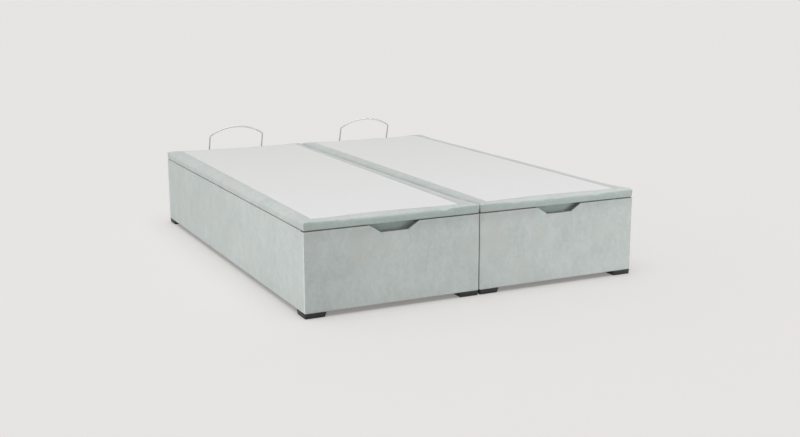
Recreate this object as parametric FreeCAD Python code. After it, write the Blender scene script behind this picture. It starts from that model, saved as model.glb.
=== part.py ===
import FreeCAD, Part

import math
import os

# Storage bed: two upholstered box bases side by side, each with a padded lid hinged at the head end.
# The foot end faces -Y, the head end +Y, and Z is up from the floor.
# The origin is on the floor under the middle of the whole bed.

Vector = FreeCAD.Vector

# Overall sizes
unit_width = 800.0
unit_length = 2100.0
unit_gap = 6.0
foot_height = 22.0
base_height = 336.0
lid_height = 41.0
lid_opening_angle = 42.0

# Boards and timber
board_thickness = 18.0
floor_thickness = 8.0
floor_board_gap = 1.0
post_width = 40.0
post_clearance = 18.0
bearer_width = 60.0
bearer_depth = 26.5
bearer_count = 5
rail_thickness = 18.0
rail_depth = 45.0
cross_rail_count = 3
locating_gap = 4.0

# Covers and padding
cover_thickness = 4.0
fold_thickness = 1.5
inner_fold_depth = 30.0
hem_width = 30.0
lid_cover_thickness = 3.0
lid_hem_width = 24.0
soft_gap = 0.2
corner_radius = 8.0
top_edge_bevel = 2.0
roll_radius = 12.0
crown_radius = 130.0
crown_angle = 20.0
cloth_side_border = 66.0
cloth_end_border = 39.0
cloth_corner_radius = 10.0

# Hand cut-out in the top edge of each foot end
cutout_top_width = 228.0
cutout_bottom_width = 125.0
cutout_depth = 32.0
cutout_corner_radius = 5.0

# Feet
foot_width = 95.0
foot_taper = 8.0
foot_rim_height = 8.0
foot_rim_step = 1.5
foot_corner_bevel = 4.0

# Buffers that the closed lid lands on
buffer_width = 14.0
buffer_play = 0.2
front_buffer_spacing = 600.0

# Hinges
hinge_count = 2
hinge_spacing = 480.0
hinge_width = 80.0
leaf_thickness = 1.5
leaf_depth = 20.0
leaf_play = 0.2
knuckle_radius = 4.5
knuckle_count = 3
knuckle_gap = 0.3
knuckle_standoff = 1.5
hinge_pin_radius = 2.5
running_clearance = 0.05

# Gas struts
base_stud_rise = 18.5
base_stud_angle = 54.0
lid_stud_angle = 4.0
strut_inset = 40.0
stud_radius = 4.0
stud_hexagon_radius = 7.0
stud_tip = 2.0
hexagon_sides = 6
eye_radius = 9.0
eye_width = 12.0
eye_play = 0.2
eye_neck_length = 15.0
strut_end_gap = 4.0
cylinder_radius = 11.0
cylinder_wall = 1.5
plug_length = 6.0
guide_length = 10.0
rod_radius = 5.0
piston_length = 8.0
piston_gap = 0.2

# Strut brackets
bracket_thickness = 2.5
bracket_length = 64.0
bracket_height = 36.0
bracket_corner_bevel = 6.0
base_bracket_rise = 6.0

# Mattress hoops and their saddles
hoop_wire_radius = 4.0
hoop_wire_sides = 8
hoop_leg_spacing = 312.0
hoop_shoulder_height = 73.0
hoop_height = 122.0
hoop_corner_radius = 14.0
hoop_lean = 17.0
hoop_bend_rise = 24.0
hoop_foot_rise = 3.5
hoop_gap = 0.3
saddle_thickness = 1.5
saddle_width = 16.0
saddle_ear_length = 13.0
saddle_play = 0.1
saddle_bevel = 3.0

# Link plates that tie the two bases together
link_plate_length = 240.0
link_plate_width = 40.0
link_plate_thickness = 3.0
link_plate_bevel = 6.0

# Headboard fixing holes in each head end
headboard_hole_radius = 4.25
headboard_hole_spacing = 400.0
headboard_hole_height = 230.0

# Cuts run this far past the faces they open
overrun = 2.0
touch = 0.001

# Heights worked out from the sizes above
base_bottom = foot_height
base_top = base_bottom + base_height
part_gap = 2 * leaf_thickness + leaf_play
lid_bottom = base_top + part_gap
lid_top = lid_bottom + lid_height
board_bottom = base_bottom + fold_thickness
board_top = base_top - fold_thickness
floor_bottom = board_bottom + bearer_depth
floor_top = floor_bottom + floor_thickness
lid_board_bottom = lid_bottom + fold_thickness
lid_board_top = lid_board_bottom + board_thickness
frame_bottom = lid_board_bottom - rail_depth
post_top = frame_bottom - post_clearance

# Places across one unit, counted from its middle, and along it, counted from its foot-end face
half_width = unit_width / 2
wall_outside = cover_thickness
wall_inside = cover_thickness + board_thickness
fold_inside = wall_inside + fold_thickness
frame_outside = fold_inside + locating_gap
frame_inside = frame_outside + rail_thickness
bracket_face = frame_inside + bracket_thickness
strut_plane = half_width - wall_inside - strut_inset

# The lid turns about this line, behind the head end and in the middle of the parting gap
hinge_axis_y = unit_length + knuckle_standoff + knuckle_radius
hinge_axis_z = base_top + part_gap / 2
base_stud_z = floor_top + base_stud_rise
strut_arm = (hinge_axis_z - base_stud_z) / math.sin(math.radians(base_stud_angle))

# The whole bed, centred on the origin
unit_pitch = unit_width + unit_gap
rear_reach = knuckle_standoff + 2 * knuckle_radius
front_y = -(unit_length + rear_reach) / 2
sides = {"left": -1, "right": 1}


# General shapes
def block(x_low, x_high, y_low, y_high, z_low, z_high):
    corner = Vector(x_low, y_low, z_low)
    return Part.makeBox(x_high - x_low, y_high - y_low, z_high - z_low, corner)


def rod_between(start, end, radius):
    line = end.sub(start)
    return Part.makeCylinder(radius, line.Length, start, line)


def prism(points, push):
    outline = Part.makePolygon(points + points[:1])
    return Part.Face(outline).extrude(push)


def ring_points(centre, radius, count, across, along):
    turns = [2 * math.pi * index / count for index in range(count)]
    return [centre + (across * math.cos(turn) + along * math.sin(turn)) * radius for turn in turns]


def edges_where(shape, test):
    return [edge for edge in shape.Edges if test(edge.Vertexes[0].Point, edge.Vertexes[-1].Point)]


def is_vertical(start, end):
    return abs(start.x - end.x) < touch and abs(start.y - end.y) < touch


def upright_rounded(shape, radius):
    return shape.makeFillet(radius, edges_where(shape, is_vertical))


def upright_bevelled(shape, size):
    return shape.makeChamfer(size, edges_where(shape, is_vertical))


def level_bevelled(shape, size, level):
    def at_level(start, end):
        return abs(start.z - level) < touch and abs(end.z - level) < touch

    return shape.makeChamfer(size, edges_where(shape, at_level))


def mirrored_x(shape):
    return shape.mirror(Vector(0, 0, 0), Vector(1, 0, 0))


def mirrored_length(shape):
    return shape.mirror(Vector(0, unit_length / 2, 0), Vector(0, 1, 0))


def both_sides(shape):
    return [shape, mirrored_x(shape)]


def all_corners(shape):
    ends = [shape, mirrored_length(shape)]
    return ends + [mirrored_x(end) for end in ends]


def even_places(low, high, count):
    step = (high - low) / (count + 1)
    return [low + step * (index + 1) for index in range(count)]


# Hand cut-out as a tapered plug; grow widens it evenly for the fold of cover that lines it
def cutout_plug(grow, y_low, y_high):
    top_half = cutout_top_width / 2
    slope = (cutout_top_width - cutout_bottom_width) / 2 / cutout_depth
    widening = grow * math.sqrt(1 + slope ** 2)

    def half_at(depth):
        return top_half - slope * depth + widening

    low = base_top - cutout_depth - grow
    points = [
        Vector(-half_at(-overrun), y_low, base_top + overrun),
        Vector(half_at(-overrun), y_low, base_top + overrun),
        Vector(half_at(cutout_depth + grow), y_low, low),
        Vector(-half_at(cutout_depth + grow), y_low, low),
    ]
    plug = prism(points, Vector(0, y_high - y_low, 0))

    def along_length(start, end):
        return abs(start.z - low) < touch and abs(start.x - end.x) < touch and abs(end.z - low) < touch

    return plug.makeFillet(cutout_corner_radius + grow, edges_where(plug, along_length))


# Base: boards, posts, bearers and floor
def headboard_holes(y_low, y_high):
    holes = []
    for x in (-headboard_hole_spacing / 2, headboard_hole_spacing / 2):
        holes.append(rod_between(Vector(x, y_low, headboard_hole_height),
                                 Vector(x, y_high, headboard_hole_height), headboard_hole_radius))
    return holes


def foot_end_panel():
    half = half_width - wall_inside
    panel = block(-half, half, wall_outside, wall_inside, board_bottom, board_top)
    return panel.cut(cutout_plug(fold_thickness, wall_outside - overrun, wall_inside + overrun))


def head_end_panel():
    half = half_width - wall_inside
    y_low = unit_length - wall_inside
    panel = block(-half, half, y_low, y_low + board_thickness, board_bottom, board_top)
    return panel.cut(headboard_holes(y_low - overrun, unit_length))


def side_panel():
    return block(half_width - wall_inside, half_width - wall_outside,
                 wall_outside, unit_length - wall_outside, board_bottom, board_top)


def corner_post():
    return block(half_width - wall_inside - post_width, half_width - wall_inside,
                 wall_inside, wall_inside + post_width, floor_top, post_top)


def bearer_places():
    first = wall_inside
    last = unit_length - wall_inside - bearer_width
    step = (last - first) / (bearer_count - 1)
    return [first + step * index for index in range(bearer_count)]


def bearers():
    half = half_width - wall_inside
    return [block(-half, half, y, y + bearer_width, board_bottom, floor_bottom) for y in bearer_places()]


def floor_board():
    half = half_width - wall_inside - floor_board_gap
    end = wall_inside + floor_board_gap
    return block(-half, half, end, unit_length - end, floor_bottom, floor_top)


# Base cover: an outer skin, a fold over the top edge and down inside, and a hem under the bottom
def base_envelope():
    body = block(-half_width, half_width, 0, unit_length, base_bottom, base_top)
    return level_bevelled(upright_rounded(body, corner_radius), top_edge_bevel, base_top)


def inset_block(inset, z_low, z_high):
    return block(-half_width + inset, half_width - inset, inset, unit_length - inset, z_low, z_high)


def base_cover():
    cover = base_envelope().cut([
        inset_block(wall_outside, board_bottom, board_top),
        inset_block(fold_inside, board_bottom, base_top + overrun),
        inset_block(wall_outside + hem_width, base_bottom - overrun, board_bottom + touch),
    ])
    inner_fold = inset_block(wall_inside, base_top - inner_fold_depth, base_top)
    inner_fold = inner_fold.cut(inset_block(fold_inside, 0, base_top + overrun))
    lining = cutout_plug(fold_thickness, wall_outside, wall_inside)
    lining = lining.common(inset_block(0, 0, base_top))
    cover = cover.fuse([inner_fold, lining]).removeSplitter()
    cover = cover.cut(cutout_plug(0, -overrun, fold_inside + overrun))
    return cover.cut(headboard_holes(unit_length - wall_outside - overrun, unit_length + overrun))


# Feet: a straight rim above a block that tapers on its two inner sides
def foot():
    x_out = half_width
    x_in = half_width - foot_width
    rim = block(x_in, x_out, 0, foot_width, foot_height - foot_rim_height, foot_height)
    rim = upright_bevelled(rim, foot_corner_bevel)
    top = square_loop(x_in + foot_rim_step, x_out - foot_rim_step,
                      foot_rim_step, foot_width - foot_rim_step, foot_height - foot_rim_height)
    bottom = square_loop(x_in + foot_taper, x_out - foot_rim_step,
                         foot_rim_step, foot_width - foot_taper, 0)
    return rim.fuse(Part.makeLoft([bottom, top], True, True)).removeSplitter()


def square_loop(x_low, x_high, y_low, y_high, z):
    corners = [Vector(x_low, y_low, z), Vector(x_high, y_low, z),
               Vector(x_high, y_high, z), Vector(x_low, y_high, z)]
    return Part.makePolygon(corners + corners[:1])


# Buffers on the top edge of the base, where the lid comes down
def buffers():
    middle = (wall_outside + wall_inside) / 2
    half = buffer_width / 2
    pad_top = base_top + part_gap - buffer_play
    spots = [(front_buffer_spacing / 2, middle), (half_width - middle, unit_length / 2)]
    pads = [block(x - half, x + half, y - half, y + half, base_top, pad_top) for x, y in spots]
    return pads + [mirrored_x(pad) for pad in pads]


# Link plates under the gap between the two units, in the bed's own frame
def link_plate_places():
    inner = bearer_places()[1:-1]
    return [inner[0] + bearer_width / 2, inner[-1] + bearer_width / 2]


def link_plates():
    plates = []
    z_low = base_bottom - link_plate_thickness
    for y in link_plate_places():
        plate = block(-link_plate_length / 2, link_plate_length / 2,
                      y - link_plate_width / 2, y + link_plate_width / 2, z_low, base_bottom)
        plates.append(upright_bevelled(plate, link_plate_bevel))
    return plates


# Lid: a padded board whose edge rolls over and whose top is slightly crowned towards the edge
def roll_outline(half, offset):
    # Half outline from the bottom to the flat top: a small edge arc runs into a wide crown arc
    tilt = math.radians(90 + crown_angle)
    middle = math.radians(90 + crown_angle / 2)
    edge = (-half + roll_radius,
            lid_top - crown_radius + (crown_radius - roll_radius) * math.sin(tilt))
    crown = (edge[0] - (crown_radius - roll_radius) * math.cos(tilt), lid_top - crown_radius)

    def on_arc(centre, radius, angle):
        return (centre[0] + radius * math.cos(angle), centre[1] + radius * math.sin(angle))

    small = roll_radius - offset
    large = crown_radius - offset
    return {
        "foot": (-half + offset, lid_bottom),
        "edge": (on_arc(edge, small, math.pi), on_arc(edge, small, (math.pi + tilt) / 2),
                 on_arc(edge, small, tilt)),
        "crown": (on_arc(edge, small, tilt), on_arc(crown, large, middle),
                  on_arc(crown, large, math.pi / 2)),
    }


def roll_prism(half, offset, across, along, push_length, start):
    outline = roll_outline(half, offset)

    def spot(point, mirror):
        return start + across * (point[0] * mirror) + Vector(0, 0, point[1])

    def side(mirror):
        foot = spot(outline["foot"], mirror)
        edge = [spot(point, mirror) for point in outline["edge"]]
        crown = [spot(point, mirror) for point in outline["crown"]]
        return [Part.LineSegment(foot, edge[0]).toShape(),
                Part.Arc(*edge).toShape(),
                Part.Arc(*crown).toShape()]

    left = side(1)
    right = side(-1)
    top = Part.LineSegment(spot(outline["crown"][2], 1), spot(outline["crown"][2], -1)).toShape()
    bottom = Part.LineSegment(spot(outline["foot"], 1), spot(outline["foot"], -1)).toShape()
    wire = Part.Wire(Part.__sortEdges__(left + [top] + right + [bottom]))
    return Part.Face(wire).extrude(along * push_length)


def lid_envelope(offset):
    across = roll_prism(half_width, offset, Vector(1, 0, 0), Vector(0, 1, 0), unit_length, Vector(0, 0, 0))
    along = roll_prism(unit_length / 2, offset, Vector(0, 1, 0), Vector(1, 0, 0), unit_width,
                       Vector(-half_width, unit_length / 2, 0))
    plan = inset_block(offset, lid_bottom - overrun, lid_top + overrun)
    return across.common(along).common(upright_rounded(plan, corner_radius - offset))


def cloth_window():
    window = block(-half_width + cloth_side_border, half_width - cloth_side_border,
                   cloth_end_border, unit_length - cloth_end_border, lid_board_top, lid_top + overrun)
    return upright_rounded(window, cloth_corner_radius)


def lid_skin():
    return lid_envelope(0).cut(lid_envelope(lid_cover_thickness))


def lid_cover(skin):
    hem = inset_block(lid_cover_thickness - touch, lid_bottom, lid_board_bottom)
    hem = hem.cut(inset_block(lid_hem_width, lid_bottom - overrun, lid_board_bottom + overrun))
    return skin.cut(cloth_window()).fuse(hem).removeSplitter()


def lid_top_cloth(skin):
    return skin.common(cloth_window())


def lid_board():
    inset = lid_cover_thickness + soft_gap
    return upright_bevelled(inset_block(inset, lid_board_bottom, lid_board_top), corner_radius - inset)


def lid_foam():
    above = block(-half_width, half_width, 0, unit_length, lid_board_top, lid_top + overrun)
    return lid_envelope(lid_cover_thickness + soft_gap).common(above)


# Locating frame under the lid: it drops inside the box when the lid is closed
def lid_side_rail():
    return block(half_width - frame_inside, half_width - frame_outside,
                 frame_outside, unit_length - frame_outside, frame_bottom, lid_board_bottom)


def lid_end_rail():
    half = half_width - frame_inside
    return block(-half, half, frame_outside, frame_inside, frame_bottom, lid_board_bottom)


def lid_cross_rails():
    half = half_width - frame_inside
    reach = rail_thickness / 2
    return [block(-half, half, y - reach, y + reach, frame_bottom, lid_board_bottom)
            for y in even_places(frame_inside, unit_length - frame_inside, cross_rail_count)]


def grip_facing():
    half = half_width - frame_outside
    return block(-half, half, frame_outside - fold_thickness, frame_outside, frame_bottom, lid_board_bottom)


# Butt hinges: the two leaves lie in the parting gap, so the gap is as wide as both
def hinge_places():
    middle = (hinge_count - 1) / 2
    return [hinge_spacing * (index - middle) for index in range(hinge_count)]


def axis_rod(x_low, x_high, radius):
    start = Vector(x_low, hinge_axis_y, hinge_axis_z)
    return rod_between(start, start + Vector(x_high - x_low, 0, 0), radius)


def hinge_leaf(x, z_low, knuckles):
    # Leaf with a tab out to each of its knuckles
    y_low = unit_length - leaf_depth
    y_high = unit_length + knuckle_standoff - knuckle_gap
    z_high = z_low + leaf_thickness
    pitch = hinge_width / knuckle_count
    pieces = []
    for index in knuckles:
        low = x - hinge_width / 2 + pitch * index + knuckle_gap / 2
        high = low + pitch - knuckle_gap
        pieces.append(block(low, high, y_high, hinge_axis_y, z_low, z_high))
        pieces.append(axis_rod(low, high, knuckle_radius))
    leaf = block(x - hinge_width / 2, x + hinge_width / 2, y_low, y_high, z_low, z_high)
    return leaf.fuse(pieces).removeSplitter()


def base_hinge_leaves():
    # The pin is fixed in the base knuckles and ends inside the outer ones
    reach = (hinge_width - hinge_width / knuckle_count) / 2
    leaves = []
    for x in hinge_places():
        pin = axis_rod(x - reach, x + reach, hinge_pin_radius)
        leaves.append(hinge_leaf(x, base_top, range(0, knuckle_count, 2)).fuse(pin).removeSplitter())
    return leaves


def lid_hinge_leaves():
    leaves = []
    for x in hinge_places():
        bore = axis_rod(x - hinge_width, x + hinge_width, hinge_pin_radius + running_clearance)
        leaves.append(hinge_leaf(x, lid_bottom - leaf_thickness, range(1, knuckle_count, 2)).cut(bore))
    return leaves


# Gas struts: both studs lie on one circle about the hinge line, so the strut turns half as far as the lid
def stud_spot(angle):
    turn = math.radians(angle)
    axis = Vector(strut_plane, hinge_axis_y, hinge_axis_z)
    return axis - Vector(0, strut_arm * math.cos(turn), strut_arm * math.sin(turn))


def strut_direction():
    line = stud_spot(lid_stud_angle).sub(stud_spot(base_stud_angle))
    return line.normalize()


def strut_length(opening):
    # Distance between the studs when the lid is open by this angle
    return 2 * strut_arm * math.sin(math.radians(base_stud_angle - lid_stud_angle + opening) / 2)


def strut_point(distance):
    return stud_spot(base_stud_angle) + strut_direction() * distance


def eye(distance, neck_end):
    # Flat eye with a round end at one distance along the strut and a straight neck to another
    back = math.copysign(eye_radius, distance - neck_end)
    across = strut_direction().cross(Vector(1, 0, 0)) * eye_radius
    low = Vector(-eye_width / 2, 0, 0)
    centre = strut_point(distance) + low
    neck = strut_point(neck_end) + low
    tip = strut_point(distance + back) + low
    outline = [Part.Arc(centre - across, tip, centre + across).toShape(),
               Part.LineSegment(centre + across, neck + across).toShape(),
               Part.LineSegment(neck + across, neck - across).toShape(),
               Part.LineSegment(neck - across, centre - across).toShape()]
    plate = Part.Face(Part.Wire(outline)).extrude(Vector(eye_width, 0, 0))
    bore_end = centre + Vector(eye_width + overrun, 0, 0)
    return plate.cut(rod_between(centre - Vector(overrun, 0, 0), bore_end, stud_radius + running_clearance))


def strut_stations():
    # Distances from the base stud with the lid shut; the bore holds the piston's whole stroke
    stroke = strut_length(lid_opening_angle) - strut_length(0)
    plug_end = strut_length(0) - eye_neck_length
    bore_end = plug_end - plug_length
    bore_start = bore_end - stroke - piston_length - 2 * strut_end_gap
    return {
        "guide_start": bore_start - guide_length,
        "bore_start": bore_start,
        "bore_end": bore_end,
        "plug_end": plug_end,
        "rod_end": bore_end - strut_end_gap,
    }


def gas_cylinder():
    place = strut_stations()
    tube = rod_between(strut_point(place["guide_start"]), strut_point(place["plug_end"]), cylinder_radius)
    body = tube.fuse(eye(strut_length(0), place["plug_end"] - overrun))
    bore = rod_between(strut_point(place["bore_start"]), strut_point(place["bore_end"]),
                       cylinder_radius - cylinder_wall)
    rod_way = rod_between(strut_point(place["guide_start"] - overrun),
                          strut_point(place["bore_start"] + overrun), rod_radius + running_clearance)
    return body.cut([bore, rod_way]).removeSplitter()


def gas_rod():
    place = strut_stations()
    rod = rod_between(strut_point(eye_neck_length - overrun), strut_point(place["rod_end"]), rod_radius)
    piston = rod_between(strut_point(place["rod_end"] - piston_length), strut_point(place["rod_end"]),
                         cylinder_radius - cylinder_wall - piston_gap)
    return rod.fuse([piston, eye(0, eye_neck_length)]).removeSplitter()


# Strut brackets: a plate with a hexagon standoff and a stud that points to the middle of the box
def strut_bracket(outer_x, centre_z, spot):
    half = bracket_length / 2
    plate = block(outer_x - bracket_thickness, outer_x, spot.y - half, spot.y + half,
                  centre_z - bracket_height / 2, centre_z + bracket_height / 2)

    def along_x(start, end):
        return abs(start.y - end.y) < touch and abs(start.z - end.z) < touch

    plate = plate.makeChamfer(bracket_corner_bevel, edges_where(plate, along_x))
    seat = Vector(outer_x - bracket_thickness, spot.y, spot.z)
    shoulder = spot + Vector(eye_width / 2 + eye_play, 0, 0)
    tip = spot - Vector(eye_width / 2 + stud_tip, 0, 0)
    standoff = prism(ring_points(seat, stud_hexagon_radius, hexagon_sides, Vector(0, 1, 0), Vector(0, 0, 1)),
                     shoulder - seat)
    return plate.fuse([standoff, rod_between(seat, tip, stud_radius)]).removeSplitter()


def base_strut_bracket():
    spot = stud_spot(base_stud_angle)
    return strut_bracket(half_width - wall_inside, spot.z + base_bracket_rise, spot)


def lid_strut_bracket():
    # The plate is centred on the depth of the rail that carries it
    centre_z = (frame_bottom + lid_board_bottom) / 2
    return strut_bracket(half_width - frame_inside, centre_z, stud_spot(lid_stud_angle))


# Mattress hoop: bent wire with small corners and one wide arch, whose legs lean over the lid
def mattress_hoop():
    half = hoop_leg_spacing / 2
    y = unit_length + hoop_gap + hoop_wire_radius
    bend = Vector(0, y - hoop_corner_radius, lid_bottom + hoop_bend_rise)
    lean = math.radians(hoop_lean)

    def upright_z(height):
        # Where a height above the lid lies before the hoop leans
        return bend.z + (lid_top + height - bend.z - hoop_corner_radius * math.sin(lean)) / math.cos(lean)

    crest = upright_z(hoop_height)
    rise = crest - upright_z(hoop_shoulder_height)
    arch_radius = (half ** 2 + rise ** 2) / (2 * rise)
    arch_centre = Vector(0, y, crest - arch_radius)
    turn_x = half - hoop_corner_radius
    reach = arch_radius - hoop_corner_radius
    turn_centre = arch_centre + Vector(turn_x, 0, math.sqrt(reach ** 2 - turn_x ** 2))
    slope = math.asin(turn_x / reach)
    axis = Vector(0, -1, 0)

    def section(centre, bend_radius, direction):
        # The round wire has a many-sided section, which keeps its bends light
        middle = centre + direction * bend_radius
        points = ring_points(middle, hoop_wire_radius, hoop_wire_sides, direction, axis)
        return Part.Face(Part.makePolygon(points + points[:1]))

    sideways = Vector(1, 0, 0)
    start = Vector(math.sin(slope), 0, math.cos(slope))
    arch = section(arch_centre, arch_radius, start).revolve(arch_centre, axis, math.degrees(2 * slope))
    leg_face = section(turn_centre, hoop_corner_radius, sideways)
    turn = leg_face.revolve(turn_centre, axis, math.degrees(math.pi / 2 - slope))
    leg = leg_face.extrude(Vector(0, 0, bend.z - turn_centre.z))
    leaning = arch.fuse(both_sides(turn) + both_sides(leg)).rotated(bend, sideways, hoop_lean)

    foot_face = section(Vector(half, y, bend.z), 0, sideways)
    knee = foot_face.revolve(bend, sideways, hoop_lean)
    foot = foot_face.extrude(Vector(0, 0, lid_bottom + hoop_foot_rise - bend.z))
    return leaning.fuse(both_sides(knee) + both_sides(foot)).removeSplitter()


def saddle():
    x = hoop_leg_spacing / 2
    y = unit_length + hoop_gap + hoop_wire_radius
    z_low = lid_bottom + hoop_foot_rise
    z_high = z_low + saddle_width
    inner = hoop_wire_radius + saddle_play
    outer = inner + saddle_thickness
    ear = outer + saddle_ear_length
    bridge = block(x - outer, x + outer, unit_length, y + outer, z_low, z_high)

    def far_side(start, end):
        return is_vertical(start, end) and start.y > y

    bridge = bridge.makeChamfer(saddle_bevel, edges_where(bridge, far_side))
    ears = block(x - ear, x + ear, unit_length, unit_length + saddle_thickness, z_low, z_high)
    channel = Part.makeCylinder(inner, saddle_width + 2 * overrun, Vector(x, y, z_low - overrun))
    slot = block(x - inner, x + inner, unit_length - overrun, y, z_low - overrun, z_high + overrun)
    return bridge.fuse(ears).cut([channel, slot]).removeSplitter()


# Each unit is modelled as the left one, about its own middle; the right one is its mirror image
def place(shape, side):
    own = shape if side < 0 else mirrored_x(shape)
    return own.translated(Vector(side * unit_pitch / 2, front_y, 0))


def export(name, shapes):
    shape = shapes[0] if len(shapes) == 1 else Part.makeCompound(shapes)
    shape.exportStep("parts/" + name + ".step")


def base_nodes():
    return {
        "foot_end_panel": [foot_end_panel()],
        "head_end_panel": [head_end_panel()],
        "outer_side_panel": [mirrored_x(side_panel())],
        "inner_side_panel": [side_panel()],
        "floor_bearers": bearers(),
        "floor_board": [floor_board()],
        "base_cover": [base_cover()],
    }


def lid_nodes():
    skin = lid_skin()
    end_rail = lid_end_rail()
    return {
        "lid_board": [lid_board()],
        "lid_foam": [lid_foam()],
        "lid_cover": [lid_cover(skin)],
        "lid_top_cloth": [lid_top_cloth(skin)],
        "lid_side_rails": both_sides(lid_side_rail()),
        "lid_end_rails": [end_rail, mirrored_length(end_rail)],
        "lid_cross_rails": lid_cross_rails(),
        "grip_facing": [grip_facing()],
        "lid_hinge_leaves": lid_hinge_leaves(),
        "lid_strut_brackets": both_sides(lid_strut_bracket()),
        "mattress_hoop": [mattress_hoop()],
        "hoop_saddles": both_sides(saddle()),
    }


def strut_nodes():
    cylinder = gas_cylinder()
    rod = gas_rod()
    return {
        "outer_gas_cylinder": [mirrored_x(cylinder)],
        "outer_gas_rod": [mirrored_x(rod)],
        "inner_gas_cylinder": [cylinder],
        "inner_gas_rod": [rod],
    }


# Small pieces that are alike on both units share one node
def shared_nodes():
    return {
        "feet": all_corners(foot()),
        "corner_posts": all_corners(corner_post()),
        "lid_buffers": buffers(),
        "base_hinge_leaves": base_hinge_leaves(),
        "base_strut_brackets": both_sides(base_strut_bracket()),
    }


def build():
    os.makedirs("parts", exist_ok=True)
    unit_nodes = {**base_nodes(), **lid_nodes(), **strut_nodes()}
    for name, shapes in unit_nodes.items():
        for unit, side in sides.items():
            export(unit + "_" + name, [place(shape, side) for shape in shapes])
    for name, shapes in shared_nodes().items():
        export(name, [place(shape, side) for side in sides.values() for shape in shapes])
    export("link_plates", [plate.translated(Vector(0, front_y, 0)) for plate in link_plates()])


build()
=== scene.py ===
import math

import bpy
import numpy as np
from mathutils import Matrix, Vector, noise


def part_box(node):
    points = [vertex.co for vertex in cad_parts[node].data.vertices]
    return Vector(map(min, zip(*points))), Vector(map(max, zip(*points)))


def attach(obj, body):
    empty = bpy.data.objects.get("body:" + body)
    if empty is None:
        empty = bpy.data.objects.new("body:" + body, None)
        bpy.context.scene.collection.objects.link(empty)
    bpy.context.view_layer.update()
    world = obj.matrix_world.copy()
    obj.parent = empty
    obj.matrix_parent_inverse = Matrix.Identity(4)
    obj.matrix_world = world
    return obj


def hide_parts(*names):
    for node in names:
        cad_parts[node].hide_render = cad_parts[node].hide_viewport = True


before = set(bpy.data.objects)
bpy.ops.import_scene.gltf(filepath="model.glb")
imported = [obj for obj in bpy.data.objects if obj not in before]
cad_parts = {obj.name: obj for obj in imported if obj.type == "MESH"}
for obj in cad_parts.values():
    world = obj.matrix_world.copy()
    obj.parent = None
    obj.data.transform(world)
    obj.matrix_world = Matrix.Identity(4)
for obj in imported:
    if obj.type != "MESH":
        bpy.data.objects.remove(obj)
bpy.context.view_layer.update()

# Sizes of the bed in metres, as the frame has them
HALF_WIDTH = 0.4
LENGTH = 2.1
UNIT_PITCH = 0.806
FRONT_Y = -1.05525
BASE_BOTTOM = 0.022
BASE_TOP = 0.358
LID_BOTTOM = 0.3612
LID_TOP = 0.4022
CORNER_RADIUS = 0.006

# Hand cut-out, hoop and hardware
CUTOUT_TOP_HALF = 0.114
CUTOUT_BOTTOM_HALF = 0.0625
CUTOUT_DEPTH = 0.0322
HOOP_HALF = 0.156
HOOP_SHOULDER = LID_TOP + 0.073
HOOP_CREST = LID_TOP + 0.122
HOOP_CORNER = 0.014
HOOP_WIRE = 0.004
HOOP_LEAN = math.radians(17)
HOOP_Y = LENGTH + 0.0043
HOOP_FOOT = LID_BOTTOM + 0.0035
HOOP_BEND = LID_BOTTOM + 0.024

# Lid padding: an edge roll, tight at the corners and full between them, runs into a wide crown
TIGHT_EDGE = (0.006, math.radians(16))
FULL_EDGE = (0.013, math.radians(24))
FULL_EDGE_REACH = 0.22
CROWN_RADIUS = 0.130
SIDE_BORDER = 0.066
END_BORDER = 0.036
CLOTH_SHIFT = {-1: (-0.017, 0.015), 1: (-0.018, 0.000)}
SEAM_BOW = 0.017
SEAM_BOW_REACH = 0.5

UNITS = {"left": -1, "right": 1}


def srgb(red, green, blue):
    """Linear colour of 0 to 255 display values."""
    def linear(value):
        share = value / 255
        return share / 12.92 if share <= 0.04045 else ((share + 0.055) / 1.055) ** 2.4
    return (linear(red), linear(green), linear(blue), 1.0)


# Shader values ------------------------------------------------------

class Value:
    """A socket in a finish's node tree that takes part in Python sums."""

    def __init__(self, finish, socket):
        self.finish = finish
        self.socket = socket

    def math(self, operation, *others):
        return self.finish.node("Math", {"operation": operation}, dict(enumerate((self,) + others)))

    def __add__(self, other):
        return self.math("ADD", other)

    def __mul__(self, other):
        return self.math("MULTIPLY", other)

    __radd__ = __add__
    __rmul__ = __mul__

    def between(self, low, high):
        """0 below low, 1 above high and a smooth rise from one to the other."""
        return self.finish.node("MapRange", {"interpolation_type": "SMOOTHSTEP"},
                                {"Value": self, "From Min": low, "From Max": high})


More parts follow.
